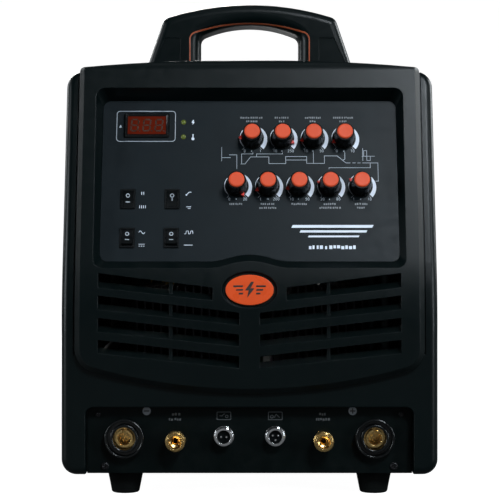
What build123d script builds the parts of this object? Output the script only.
from build123d import *
import math
import os

os.makedirs("parts", exist_ok=True)

# Inverter TIG welding machine, all sizes in millimetres.
# Origin: on the floor, under the middle of the case. X to the right of someone facing the
# machine, Y towards its back, Z up.

# ---- case -----------------------------------------------------------------------------
CASE_HALF_WIDTH = 185.0
CASE_BOTTOM = 22.0
CASE_TOP = 424.0
CASE_TOP_CORNER = 17.0
CASE_BOTTOM_CORNER = 15.0
FRONT_Y = -280.0
BEZEL_REAR_Y = -196.0
COVER_REAR_Y = 224.0
REAR_Y = 250.0
BEZEL_WALL = 3.0
BEZEL_EDGE_RADIUS = 8.0
LEAN = 13.2
KINK_Z = 197.0
KINK_RADIUS = 300.0

# ---- raised face on the bezel ---------------------------------------------------------
RAISE = 10.0
RAISED_HALF_WIDTH = 171.0
RAISED_CHAMFER = 5.0
RAISED_WALL_INSET = 6.0
CROWN_TOP = 435.0
CROWN_SIDE_TOP = 427.5
CROWN_SIDE_X = 160.0
SMILE_LOW = 102.5
SMILE_SIDE_X = 165.0
SMILE_SIDE_Z = 127.0
SMILE_CORNER = 24.0
CROWN_ROLL = 15.0
GROOVE_WIDTH = 1.8
GROOVE_DEPTH = 2.0
GROOVE_LOW = 150.0
CROWN_CORNER = 4.0

# ---- recess for the control panel -----------------------------------------------------
PANEL_TILT = 17.0
PANEL_Y = -248.8
PANEL_Z = 313.3
PANEL_HALF_WIDTH = 148.0
PANEL_LOW = -86.0
PANEL_HIGH = 84.3
PANEL_CORNER = 8.0
PANEL_THICK = 3.0
PANEL_GAP = 0.25
PANEL_LEDGE = 5.0
BUMP_HALF_WIDTH = 42.0
BUMP_RISE = 7.0
RECESS_HALF_WIDTH = 154.0
RECESS_LOW_Z = 224.0
RECESS_HIGH_Z = 406.0
RECESS_CORNER = 9.0
TRAY_WALL = 3.0

# ---- louvres --------------------------------------------------------------------------
LOUVRE_OUTER_X = 148.0
LOUVRE_INNER_X = 10.0
LOUVRE_SHORT_INNER_X = 36.0
LOUVRE_TOP_Z = 219.0
LOUVRE_PITCH = 21.3
LOUVRE_ROWS = 4
LOUVRE_OUTER_HEIGHT = 13.2
LOUVRE_INNER_HEIGHT = 11.6
LOUVRE_DROP = 16.2
LOUVRE_TILT = 22.0
LOUVRE_MOUTH = 4.0
LOUVRE_REACH = 24.0
LOUVRE_RIB_X = 77.0
LOUVRE_RIB = 3.0
LOUVRE_BLOCK_LOW = 118.0

# ---- badge ----------------------------------------------------------------------------
BADGE_Z = 203.8
BADGE_RX = 23.6
BADGE_RZ = 15.0
BADGE_RECESS = 3.2
BADGE_MARGIN = 2.2
BADGE_TAPER = 25.0

# ---- connector panel ------------------------------------------------------------------
OPENING_HALF_WIDTH = 161.0
OPENING_TOP = 88.4
OPENING_CORNER = 8.0
OPENING_LIP = 1.2
CONNECTOR_PANEL_Y = -266.0
CONNECTOR_PANEL_THICK = 4.0

# ---- control panel: knobs as (across, up the panel, rest angle clockwise from straight up) -
KNOBS = {
    "preflow": (2.5, 43.6, -90),
    "peak_current": (33.0, 43.6, 117),
    "base_current": (64.0, 43.6, -104),
    "downslope": (95.0, 43.6, -113),
    "arc_force": (-12.8, -7.4, 147),
    "pulse_frequency": (18.2, -7.4, -113),
    "pulse_width": (49.2, -7.4, -104),
    "ac_balance": (80.0, -7.4, -72),
    "postflow": (111.0, -7.4, -60),
}
SKIRT_RADIUS = 11.6
SKIRT_LOW = 0.8
SKIRT_HIGH = 2.8
GRIP_LOW_RADIUS = 10.8
GRIP_HIGH_RADIUS = 9.2
KNOB_TOP = 20.0
FLUTES = 16
FLUTE_RADIUS = 1.1
CAP_RADIUS = 7.8
CAP_SEAT = 17.4
CAP_TOP = 22.0
CAP_GAP = 0.1
NUT_RECESS_RADIUS = 7.2
NUT_RECESS_TOP = 4.2
SPINDLE_RADIUS = 3.0
SPINDLE_TOP = 15.0
SPINDLE_LOW = -16.0
BUSHING_RADIUS = 3.6
BUSHING_BORE = 3.2
POT_RADIUS = 8.2
POT_FRONT = -9.5
POT_REAR = -18.0
BOARD_THICK = 1.6

# ---- control panel: rocker switches as (across, up, 1 when the upper half is pressed in) ---
ROCKERS = {
    "trigger_mode": (-121.0, -21.0, -1),
    "process": (-77.0, -21.0, -1),
    "output_mode": (-121.0, -61.5, 1),
    "pulse": (-77.4, -61.5, 1),
}
ROCKER_FLANGE = (15.0, 21.0, 1.5)
ROCKER_CORNER = 1.2
ROCKER_BEVEL = 0.6
ROCKER_BODY = (12.8, 18.8, 15.0)
ROCKER_OPENING = (11.6, 16.8)
ROCKER_PADDLE_WIDTH = 11.0
ROCKER_PADDLE_RADIUS = 8.1
ROCKER_PIVOT_DEPTH = 1.0
ROCKER_HALF_SWING = 12.0
ROCKER_PIN_RADIUS = 1.2
ROCKER_PIN_HOLE = 1.4

# ---- control panel: display and indicators ------------------------------------------------
DISPLAY_CENTRE = (-103.6, 57.5)
DISPLAY_FLANGE = (46.0, 26.4)
DISPLAY_BODY = (44.0, 24.4)
DISPLAY_WINDOW = (38.4, 19.0)
DISPLAY_PROUD = 2.8
DISPLAY_BEVEL = 1.5
DISPLAY_CORNER = 2.2
DISPLAY_WINDOW_TOP = 1.0
DISPLAY_WINDOW_THICK = 2.0
DISPLAY_DEPTH = 12.0
LED_PLACES = [(-66.6, 60.9), (-66.6, 45.1)]
LED_RADIUS = 2.5

# ---- connector panel: everything by (distance from the middle, height) ---------------------
SOCKET_PLACE = (123.5, 57.0)
SOCKET_RADIUS = 19.5
SOCKET_BODY_RADIUS = 15.5
SOCKET_PROUD = 9.0
SOCKET_INNER_RADIUS = 11.1
CONTACT_RADIUS = 10.9
CONTACT_NOSE_RADIUS = 8.6
CONTACT_NOSE_LENGTH = 10.0
CONTACT_BORE = 6.6
CONTACT_BORE_DEPTH = 25.0
CONTACT_PROUD = 6.0
KEY_WIDTH = 4.0
COUPLING_PLACE = (72.7, 55.2)
COUPLING_NOSE_RADIUS = 7.8
COUPLING_LENGTH = 23.8
COUPLING_COLLAR_RADIUS = 9.8
SIGNAL_PLACE = (25.4, 59.0)
SIGNAL_RADIUS = 9.3
SIGNAL_PROUD = 11.0
PANEL_SCREWS = [(150.0, 80.5, 2.2), (142.7, 29.3, 3.6)]

# ---- sheet metal, rear panel, handle, feet --------------------------------------------------
COVER_HALF_WIDTH = 180.0
COVER_TOP = 427.0
COVER_SHEET = 1.2
COVER_CORNER = 20.0
COVER_FLANGE_X = 161.5
PAN_HALF_WIDTH = 160.4
PAN_SHEET = 1.5
PAN_SIDE_HEIGHT = 24.0
PAN_FRONT_HEIGHT = 72.0
HANDLE_BASE_TOP = 438.0
HANDLE_BASE_HALF_WIDTH = 137.0
HANDLE_BASE_HALF_DEPTH = 150.0
HANDLE_Y = -10.0
HANDLE_DEPTH = 56.0
HANDLE_PEAK = 520.4
HANDLE_SHOULDER_X = 80.0
HANDLE_SHOULDER_Z = 510.0
HANDLE_CORNER_X = 97.0
HANDLE_CORNER_Z = 505.2
HANDLE_FOOT_X = 120.0
GRIP_OPENING_X = 55.8
GRIP_OPENING_TOP = 497.2
GRIP_OPENING_SIDE_Z = 484.7
TRIM_HALF_WIDTH = 68.0
TRIM_TOP = 499.8
TRIM_SIDE_Z = 487.0
TRIM_CORNER = 9.0
TRIM_THICK = 1.4
FOOT_X = 124.5
FOOT_FRONT_Y = -238.0
FOOT_REAR_Y = 212.0
FOOT_TOP_RADIUS = 17.2
FOOT_LOW_RADIUS = 13.6
SCREW_SHANK = 2.0
SMALL_SCREW = (2.6, 9.0)
LARGE_SCREW = (3.8, 10.0)
LONG_SCREW = (4.0, 18.0)

# ---- rear panel items: (x, z) ---------------------------------------------------------------
FAN_PLACE = (40.0, 250.0)
FAN_SIZE = 150.0
FAN_DEPTH = 44.0
FAN_DUCT_RADIUS = 71.0
FAN_HUB_RADIUS = 25.0
FAN_TIP_RADIUS = 67.5
FAN_BLADES = 7
FAN_SHAFT_RADIUS = 3.0
BLADE_CURVE = ((-13, -11), (1, -2), (13, 11))
BLADE_HALF_THICK = 0.9
BREAKER_PLACE = (-112.0, 330.0)
BREAKER_WIDTH = 54.0
BREAKER_SWING = 80.0
GAS_INLET_PLACE = (-112.0, 210.0)
CABLE_PLACE = (118.0, 80.0)
CABLE_RADIUS = 5.5
CABLE_BEND = 18.5

# ---- smaller sizes of the front's fittings ---------------------------------------------
POINTER_BASE = 8.8
POINTER_HALF_WIDTH = 3.4
POINTER_LENGTH = 4.6
POINTER_HEIGHT = 3.4
CAP_EDGE_RADIUS = 1.6
NUT_RADIUS = 5.7
NUT_TOP = 2.0
POT_LUG_WIDTH = 11.0
BOARD_SIZE = (270.0, 150.0)
BOARD_CENTRE_V = -1.0
BOARD_LONG_CHIPS = [(-60, 10), (10, 20), (60, 15)]
BOARD_SQUARE_CHIPS = [(-20, -45), (70, -45)]
BOARD_CHIP_HEIGHT = 3.0
BOARD_CANS = [(-100, 20), (-100, 0), (100, -20), (100, 10)]
BOARD_CAN_RADIUS = 5.0
BOARD_CAN_HEIGHT = 12.0
BOARD_HEADERS = [(-40, 55), (40, 55)]
BOARD_HEADER_HEIGHT = 9.0
ROCKER_TOP_ANGLE = 24.0
ROCKER_LOW_ANGLE = -20.0
ROCKER_DISH = 2.2
ROCKER_KEEL = 5.5
BADGE_THICK = 2.9
PANEL_FIT = 0.6
SOCKET_BODY_LENGTH = 24.0
CONTACT_LENGTH = 34.0
CONTACT_STUD_RADIUS = 6.0
CONTACT_STUD_LENGTH = 18.0
CONTACT_NUT_RADIUS = 9.5
KEY_REACH = 2.0
COUPLING_BORE = 2.2
COUPLING_TAIL_RADIUS = 6.6
COUPLING_TAIL = 16.0
COUPLING_STUB = 30.0
COUPLING_NECK_RADIUS = 7.4
COUPLING_SEAT_RADIUS = 3.6
COLLAR_LOW = 8.5
COLLAR_HIGH = 19.4
COLLAR_GROOVE_RADIUS = 9.0
COUPLING_HEX_RADIUS = 9.8
SIGNAL_FLANGE_RADIUS = 10.0
SIGNAL_TAIL_RADIUS = 7.6
SIGNAL_TAIL = 8.0
SIGNAL_INSERT_RADIUS = 6.5
SIGNAL_INSERT_FACE = 7.5
SIGNAL_PIN_RADIUS = 0.95
SIGNAL_PIN_PROUD = 3.0

# ---- smaller sizes of the case, the handle and the back ----------------------------------
SIDE_SLOT_BLOCKS = (-125.0, -5.0)
SIDE_SLOT_Z = 150.0
SIDE_SLOT_PITCH_Y = 60.0
SIDE_SLOT_PITCH_Z = 14.0
SIDE_SLOT_COLUMNS = 2
SIDE_SLOT_ROWS = 9
SIDE_SLOT_LENGTH = 48.0
SIDE_SLOT_WIDTH = 5.0
COVER_SCREWS = [(-182.0, 60.0), (-182.0, 380.0), (208.0, 60.0), (208.0, 380.0), (13.0, 40.0)]
REAR_SCREWS = [(-160.0, 50.0), (160.0, 50.0), (-160.0, 396.0), (160.0, 396.0)]
HANDLE_SCREWS = [(-90.0, -12.0), (90.0, -12.0), (-90.0, 12.0), (90.0, 12.0)]
GRIP_OPENING_CORNER = 9.0
HANDLE_BASE_CORNER = 22.0
HANDLE_BASE_EDGE_RADIUS = 5.0
HANDLE_BASE_WALL = 3.0
HANDLE_BOSS_RADIUS = 7.0
HANDLE_SHOULDER_RADIUS = 11.0
HANDLE_OUTER_RADIUS = 9.0
HANDLE_INNER_RADIUS = 13.0
HANDLE_INLAY = [(109.0, 452.0), (95.6, 482.2), (78.1, 482.2), (78.1, 446.0)]
HANDLE_INLAY_DEPTH = 1.0
FOOT_BORE = 2.3
FOOT_BAND = 4.0
FOOT_EDGE_RADIUS = 2.5
FOOT_WELL_RADIUS = 5.5
FOOT_WELL_DEPTH = 9.0
FAN_HOLE_PITCH = 128.0
GUARD_STAND = 4.6
GUARD_TAB = 4.4
GUARD_EYE_RADIUS = 5.0
GUARD_WIRE = 1.3
GUARD_WIRE_DEPTH = 1.0
GUARD_RINGS = (18.0, 31.0, 44.0, 57.0, 70.0)
BREAKER_HEIGHT = 82.0
BREAKER_NOSE_HEIGHT = 46.0
BREAKER_DEPTH = 50.0
BREAKER_NOSE = 5.0
TOGGLE_POCKET = (44.0, 27.0)
TOGGLE_PIVOT_DEPTH = 8.0
TOGGLE_HUB_RADIUS = 6.0
TOGGLE_REACH = 17.0
TOGGLE_THICK = 4.0
TOGGLE_PIN_RADIUS = 2.0
VALVE_BLOCK = (30.0, 26.0, 30.0)
COIL_SIZE = 26.0
COIL_HEIGHT = 32.0
PLUNGER_RADIUS = 4.4
PLUNGER_GAP = 0.1
PLUNGER_LENGTH = 30.0
PLUNGER_TRAVEL = 2.5
INLET_RADIUS = 6.6
INLET_HEX_RADIUS = 10.0
INLET_LENGTH = 20.0
INLET_TIP_RADIUS = 3.2
HOSE_RADIUS = 5.4
HOSE_BORE = 3.4
HOSE_GRIP = 12.0
HOSE_ROUTE = [(-146.0, 80.0, 150.0), (-146.0, -130.0, 92.0)]
GLAND_RADIUS = 9.8
GLAND_HEX_RADIUS = 13.5
GLAND_LENGTH = 16.0
CABLE_FLOOR = 8.0
CABLE_TAIL = 150.0

# ---- power parts inside -----------------------------------------------------------------
INVERTER_Z = 112.0
INVERTER_Y = -30.0
INVERTER_SIZE = (250.0, 300.0)
INVERTER_THICK = 2.0
CAPACITORS = 4
CAPACITOR_PITCH = 42.0
CAPACITOR_RADIUS = 15.0
CAPACITOR_HEIGHT = 45.0
DRIVER_BLOCK = (18.0, 10.0, 8.0)
STANDOFF_RADIUS = 4.0
HEATSINK_REAR_Y = 80.0
HEATSINK_X = 72.0
HEATSINK_WIDTH = 96.0
HEATSINK_HEIGHT = 90.0
HEATSINK_BASE = 8.0
HEATSINK_FIN = 1.6
HEATSINK_FIN_PITCH = 8.5
HEATSINK_FINS = 12
HEATSINK_LENGTH = 240.0
TRANSFORMER_PLACE = (62.0, 20.0)
CORE_WIDTH = 84.0
CORE_HEIGHT = 72.0
CORE_DEPTH = 60.0
CORE_WINDOW = 20.0
CORE_YOKE = 12.0
WINDING_BUILD = 9.0
REACTOR_PLACE = (-62.0, -40.0)
REACTOR_RADIUS = 30.0
REACTOR_WIRE = 4.0
REACTOR_PITCH = 8.6
REACTOR_TURNS = 11

# ---- places that follow from the sizes above -------------------------------------------
LEAN_TAN = math.tan(math.radians(LEAN))
HALF_LEAN_TAN = math.tan(math.radians(LEAN / 2))
TILT_SIN = math.sin(math.radians(PANEL_TILT))
TILT_COS = math.cos(math.radians(PANEL_TILT))
PAN_FRONT_Y = CONNECTOR_PANEL_Y + CONNECTOR_PANEL_THICK + 0.2
PAN_REAR_Y = COVER_REAR_Y + 8
HANDLE_REAR_Y = HANDLE_Y + HANDLE_DEPTH / 2
CABLE_OUT_Y = REAR_Y + GLAND_LENGTH
WALL_INNER_Y = REAR_Y - BEZEL_WALL - 0.1

panel_plane = Plane(origin=(0, PANEL_Y, PANEL_Z), x_dir=(1, 0, 0), z_dir=(0, -TILT_COS, TILT_SIN))


def front_y(z, proud=0.0):
    """Y of the front surface at height z, for a surface standing proud of the bezel."""
    kink_z = KINK_Z + proud * HALF_LEAN_TAN
    radius = KINK_RADIUS + proud
    tangent = radius * HALF_LEAN_TAN
    low = kink_z - tangent
    high = kink_z + tangent * math.cos(math.radians(LEAN))
    if z <= low:
        return FRONT_Y - proud
    if z >= high:
        return FRONT_Y - proud + (z - kink_z) * LEAN_TAN
    return FRONT_Y - proud + radius - math.sqrt(radius**2 - (z - low) ** 2)


def side_profile(proud, rear_y, high=CASE_TOP + 20, roll=0.0):
    """Side view of the solid behind the front surface, with its top front edge rolled over."""
    low = 0.0
    kink_z = KINK_Z + proud * HALF_LEAN_TAN
    front = FRONT_Y - proud
    with BuildSketch(Plane.YZ) as profile:
        with BuildLine():
            Polyline(
                (rear_y, low),
                (front, low),
                (front, kink_z),
                (front + (high - kink_z) * LEAN_TAN, high),
                (rear_y, high),
                close=True,
            )
        make_face()
        kink = profile.vertices().sort_by_distance((front, kink_z))[0]
        fillet(kink, KINK_RADIUS + proud)
        if roll:
            crown = profile.vertices().group_by(Axis.Y)[-1].sort_by(Axis.X)[0]
            fillet(crown, roll)
    return profile.sketch


def case_outline(inset=0.0, half_width=CASE_HALF_WIDTH):
    """Front view of the case."""
    with BuildSketch(Plane.XZ) as outline:
        with Locations((0, (CASE_BOTTOM + CASE_TOP) / 2)):
            Rectangle(2 * (half_width - inset), CASE_TOP - CASE_BOTTOM - 2 * inset)
        fillet(outline.vertices().group_by(Axis.Y)[-1], CASE_TOP_CORNER - inset)
        fillet(outline.vertices().group_by(Axis.Y)[0], CASE_BOTTOM_CORNER - inset)
    return outline.sketch


def raised_outline(inset=0.0):
    """Front view of the raised face: arched crown above, a wide smile below."""
    side = RAISED_HALF_WIDTH - inset
    smile_rise = (SMILE_SIDE_Z - SMILE_LOW) * (side / SMILE_SIDE_X) ** 2
    crown_fall = (CROWN_TOP - CROWN_SIDE_TOP) * (side / CROWN_SIDE_X) ** 2
    low = SMILE_LOW + inset
    top = CROWN_TOP - inset
    with BuildSketch(Plane.XZ) as outline:
        with BuildLine():
            ThreePointArc((-side, low + smile_rise), (0, low), (side, low + smile_rise))
            Line((side, low + smile_rise), (side, top - crown_fall))
            ThreePointArc((side, top - crown_fall), (0, top), (-side, top - crown_fall))
            Line((-side, top - crown_fall), (-side, low + smile_rise))
        make_face()
        fillet(outline.vertices().group_by(Axis.Y)[0], SMILE_CORNER - inset)
    return outline.sketch


def panel_outline(plane, half_width, low, high, corner, rise=BUMP_RISE):
    """Rounded rectangle whose bottom edge climbs over the badge in a smooth bump."""
    shoulder = (BUMP_HALF_WIDTH / 2, low + rise / 2)
    with BuildSketch(plane) as outline:
        with BuildLine():
            Polyline(
                (-BUMP_HALF_WIDTH, low), (-half_width, low), (-half_width, high),
                (half_width, high), (half_width, low), (BUMP_HALF_WIDTH, low),
            )
            TangentArc((BUMP_HALF_WIDTH, low), shoulder, tangent=(-1, 0))
            Spline(
                shoulder, (0, low + rise), (-shoulder[0], shoulder[1]),
                tangents=[(-1, 2 * rise / BUMP_HALF_WIDTH), (-1, -2 * rise / BUMP_HALF_WIDTH)],
            )
            TangentArc((-BUMP_HALF_WIDTH, low), (-shoulder[0], shoulder[1]), tangent=(1, 0))
        make_face()
        corners = outline.vertices().filter_by(lambda v: abs(abs(v.X) - half_width) < 0.01)
        fillet(corners, corner)
    return outline.sketch


def raised_plane(lift=0.0):
    """Plane of the leaning part of the raised face, moved outwards by lift."""
    lean_sin = math.sin(math.radians(LEAN))
    lean_cos = math.cos(math.radians(LEAN))
    kink_z = KINK_Z + RAISE * HALF_LEAN_TAN
    origin = (0, FRONT_Y - RAISE - lift * lean_cos, kink_z + lift * lean_sin)
    return Plane(origin=origin, x_dir=(1, 0, 0), z_dir=(0, -lean_cos, lean_sin))


def recess_outline(lift, grow=0.0):
    """Mouth of the control panel's recess, on the raised face."""
    plane = raised_plane(lift)
    low = plane.to_local_coords(Vector(0, front_y(RECESS_LOW_Z, RAISE), RECESS_LOW_Z)).Y - grow
    high = plane.to_local_coords(Vector(0, front_y(RECESS_HIGH_Z, RAISE), RECESS_HIGH_Z)).Y + grow
    return panel_outline(plane, RECESS_HALF_WIDTH + grow, low, high, RECESS_CORNER + grow)


def floor_outline(depth, grow=0.0):
    """The panel's own outline, at a depth below the face of the panel."""
    return panel_outline(
        panel_plane.offset(-depth), PANEL_HALF_WIDTH + grow, PANEL_LOW - grow, PANEL_HIGH + grow,
        max(PANEL_CORNER + grow, 1.0),
    )


def turned(plane, degrees):
    """The same plane, turned anticlockwise about its own Z."""
    angle = math.radians(degrees)
    x_dir = plane.x_dir * math.cos(angle) + plane.y_dir * math.sin(angle)
    return Plane(origin=plane.origin, x_dir=x_dir, z_dir=plane.z_dir)


def panel_place(across, up, turn=0.0, lift=0.0):
    """Plane on the control panel's face, turned clockwise by turn degrees."""
    origin = panel_plane.from_local_coords(Vector(across, up, lift))
    return turned(Plane(origin=origin, x_dir=panel_plane.x_dir, z_dir=panel_plane.z_dir), -turn)


def front_place(x, z, y=CONNECTOR_PANEL_Y):
    """Plane that faces the front, with its own Z towards the person in front."""
    return Plane(origin=(x, y, z), x_dir=(1, 0, 0), z_dir=(0, -1, 0))


def rear_place(x, z, y=REAR_Y):
    """Plane that faces the back, with its own Z pointing away from the machine."""
    return Plane(origin=(x, y, z), x_dir=(-1, 0, 0), z_dir=(0, 1, 0))


def front_rim(solid, proud, low, high):
    """Edges round the front surface, without the smooth seams that cross it."""
    on_surface = solid.edges().filter_by(lambda e: abs(e.center().Y - front_y(e.center().Z, proud)) < 0.6)
    return on_surface.filter_by(
        lambda e: abs(e.center().X) > 1 or e.center().Z < low + 1 or e.center().Z > high - 1
    )


# ======================================================================== front bezel ====
def louvre_slot(row, inner_x, outer_x, side):
    """One louvre slot from outer_x towards the middle, sloping down; side is -1 or 1."""
    span = LOUVRE_OUTER_X - LOUVRE_INNER_X
    outer_top = LOUVRE_TOP_Z - row * LOUVRE_PITCH
    middle_z = outer_top - LOUVRE_DROP / 2 - LOUVRE_OUTER_HEIGHT / 2

    def top(x):
        return outer_top - (LOUVRE_OUTER_X - x) * LOUVRE_DROP / span

    def bottom(x):
        shrink = (LOUVRE_OUTER_X - x) * (LOUVRE_OUTER_HEIGHT - LOUVRE_INNER_HEIGHT) / span
        return top(x) - LOUVRE_OUTER_HEIGHT + shrink

    with BuildSketch(Plane.XZ.offset(-front_y(middle_z, RAISE))) as slot:
        with BuildLine():
            Polyline(
                (side * outer_x, top(outer_x)), (side * inner_x, top(inner_x)),
                (side * inner_x, bottom(inner_x)), (side * outer_x, bottom(outer_x)),
                close=True,
            )
        make_face()
        fillet(slot.vertices(), 0.8)
    return slot.sketch


def opening_outline(y, shrink=0.0, low=0.0):
    """Front view of the connector opening, open at its bottom, drawn at depth y."""
    with BuildSketch(Plane.XZ.offset(-y)) as outline:
        with Locations((0, (OPENING_TOP - shrink + low) / 2)):
            Rectangle(2 * (OPENING_HALF_WIDTH - shrink), OPENING_TOP - shrink - low)
        fillet(outline.vertices().group_by(Axis.Y)[-1], OPENING_CORNER - shrink)
    return outline.sketch


with BuildPart() as groove_cut:
    for side in (-1, 1):
        with BuildSketch(Plane.XZ):
            with Locations((side * (RAISED_HALF_WIDTH + GROOVE_WIDTH / 2), (GROOVE_LOW + CASE_TOP) / 2)):
                Rectangle(GROOVE_WIDTH, CASE_TOP + 20 - GROOVE_LOW)
    extrude(amount=400)
    extrude(
        side_profile(-GROOVE_DEPTH, BEZEL_REAR_Y + 1, CASE_TOP - GROOVE_DEPTH),
        amount=CASE_HALF_WIDTH, both=True, mode=Mode.SUBTRACT,
    )

with BuildPart() as case_block:
    extrude(side_profile(0, BEZEL_REAR_Y), amount=CASE_HALF_WIDTH, both=True)
    extrude(case_outline(), amount=400, mode=Mode.INTERSECT)
    fillet(front_rim(case_block, 0, CASE_BOTTOM, CASE_TOP), BEZEL_EDGE_RADIUS)

with BuildPart() as raised_block:
    extrude(side_profile(RAISE, BEZEL_REAR_Y, CROWN_TOP, CROWN_ROLL), amount=CASE_HALF_WIDTH, both=True)
    extrude(raised_outline(), amount=400, mode=Mode.INTERSECT)
    rim = front_rim(raised_block, RAISE, SMILE_LOW, CASE_TOP)
    chamfer(rim.filter_by(lambda e: e.center().Z < CROWN_TOP - CROWN_ROLL), RAISED_CHAMFER)
    crown_corners = raised_block.edges().filter_by(Axis.Y).filter_by(
        lambda e: abs(e.center().X) > RAISED_HALF_WIDTH - 1 and e.center().Z > CASE_TOP - 10
    )
    fillet(crown_corners, CROWN_CORNER)

with BuildPart() as case_hollow:
    extrude(side_profile(-BEZEL_WALL, BEZEL_REAR_Y + 1), amount=CASE_HALF_WIDTH, both=True)
    extrude(case_outline(BEZEL_WALL), amount=400, mode=Mode.INTERSECT)

with BuildPart() as raised_hollow:
    extrude(
        side_profile(RAISE - BEZEL_WALL, BEZEL_REAR_Y + 1, CROWN_TOP - RAISED_WALL_INSET),
        amount=CASE_HALF_WIDTH, both=True,
    )
    extrude(raised_outline(RAISED_WALL_INSET), amount=400, mode=Mode.INTERSECT)
    # the louvre blades need a thick wall, so this hollow leaves their block solid
    with BuildSketch(Plane.XZ):
        with Locations((0, (LOUVRE_BLOCK_LOW + RECESS_LOW_Z) / 2)):
            Rectangle(2 * LOUVRE_OUTER_X + 8, RECESS_LOW_Z - LOUVRE_BLOCK_LOW)
    extrude(amount=400, mode=Mode.SUBTRACT)

with BuildPart() as panel_tray:
    loft([floor_outline(PANEL_THICK + TRAY_WALL, TRAY_WALL), recess_outline(1.0, TRAY_WALL)])

with BuildPart() as opening_frame:
    extrude(opening_outline(CONNECTOR_PANEL_Y + CONNECTOR_PANEL_THICK, -BEZEL_WALL), amount=30)

with BuildPart() as bezel_hollow:
    add(raised_hollow.part)
    add(case_hollow.part)
    add(panel_tray.part, mode=Mode.SUBTRACT)
    add(opening_frame.part, mode=Mode.SUBTRACT)

badge_y = front_y(BADGE_Z, RAISE)
badge_slope = (front_y(BADGE_Z + 1, RAISE) - front_y(BADGE_Z - 1, RAISE)) / 2
badge_plane = Plane(origin=(0, badge_y, BADGE_Z), x_dir=(1, 0, 0), z_dir=(0, -1, badge_slope))

with BuildPart() as front_bezel:
    add(case_block.part)
    add(groove_cut.part, mode=Mode.SUBTRACT)
    add(raised_block.part)
    add(bezel_hollow.part, mode=Mode.SUBTRACT)
    # recess for the control panel, the panel's seat and the window behind it
    loft([floor_outline(0.0), recess_outline(1.0)], mode=Mode.SUBTRACT)
    extrude(floor_outline(PANEL_THICK), amount=PANEL_THICK + 0.01, mode=Mode.SUBTRACT)
    extrude(
        floor_outline(PANEL_THICK + TRAY_WALL + 1, -PANEL_LEDGE), amount=TRAY_WALL + 2, mode=Mode.SUBTRACT
    )
    # louvres: a shallow mouth along the whole slot, then two windows either side of a rib
    tilt = math.radians(LOUVRE_TILT)
    slot_direction = (0, math.cos(tilt), math.sin(tilt))
    for side in (-1, 1):
        for row in range(LOUVRE_ROWS):
            inner_x = LOUVRE_SHORT_INNER_X if row == 0 else LOUVRE_INNER_X
            extrude(
                louvre_slot(row, inner_x, LOUVRE_OUTER_X, side), amount=LOUVRE_MOUTH, dir=slot_direction,
                both=True, mode=Mode.SUBTRACT,
            )
            inner_window = (inner_x, LOUVRE_RIB_X - LOUVRE_RIB / 2)
            outer_window = (LOUVRE_RIB_X + LOUVRE_RIB / 2, LOUVRE_OUTER_X)
            for start, end in (inner_window, outer_window):
                extrude(
                    louvre_slot(row, start, end, side), amount=LOUVRE_REACH, dir=slot_direction,
                    both=True, mode=Mode.SUBTRACT,
                )
    # oval seat of the badge
    with BuildSketch(badge_plane.offset(-BADGE_RECESS)):
        Ellipse(BADGE_RX + BADGE_MARGIN, BADGE_RZ + BADGE_MARGIN)
    extrude(amount=BADGE_RECESS + 2, taper=-BADGE_TAPER, mode=Mode.SUBTRACT)
    # connector opening, and the foot of the bezel open above the base pan
    extrude(opening_outline(FRONT_Y + 30), amount=60, mode=Mode.SUBTRACT)
    with BuildSketch(Plane.XY):
        with Locations((0, (FRONT_Y + BEZEL_REAR_Y) / 2)):
            Rectangle(2 * OPENING_HALF_WIDTH, BEZEL_REAR_Y - FRONT_Y + 2)
    extrude(amount=CASE_BOTTOM + BEZEL_WALL + 0.01, mode=Mode.SUBTRACT)
    lip = front_bezel.edges().filter_by(
        lambda e: abs(e.center().Y - FRONT_Y) < 0.01 and e.center().Z < OPENING_TOP + 1
        and abs(e.center().X) < OPENING_HALF_WIDTH + 1
    )
    fillet(lip, OPENING_LIP)
front_bezel.part.label = "front_bezel"
export_step(front_bezel.part, "parts/front_bezel.step")

# ====================================================================== control panel ====
with BuildPart() as control_panel:
    extrude(floor_outline(PANEL_THICK, -PANEL_GAP), amount=PANEL_THICK)
    with Locations(*[panel_place(u, v) for u, v, turn in KNOBS.values()]):
        Hole(BUSHING_RADIUS + 0.1, depth=PANEL_THICK * 2)
    with Locations(*[panel_place(u, v) for u, v in LED_PLACES]):
        Hole(LED_RADIUS + 0.1, depth=PANEL_THICK * 2)
    for u, v, pressed in ROCKERS.values():
        with BuildSketch(panel_place(u, v)):
            Rectangle(ROCKER_BODY[0] + 0.2, ROCKER_BODY[1] + 0.2)
        extrude(amount=-PANEL_THICK * 2, mode=Mode.SUBTRACT)
    with BuildSketch(panel_place(*DISPLAY_CENTRE)):
        Rectangle(DISPLAY_BODY[0] + 0.2, DISPLAY_BODY[1] + 0.2)
    extrude(amount=-PANEL_THICK * 2, mode=Mode.SUBTRACT)
control_panel.part.label = "control_panel"
export_step(control_panel.part, "parts/control_panel.step")

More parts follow.
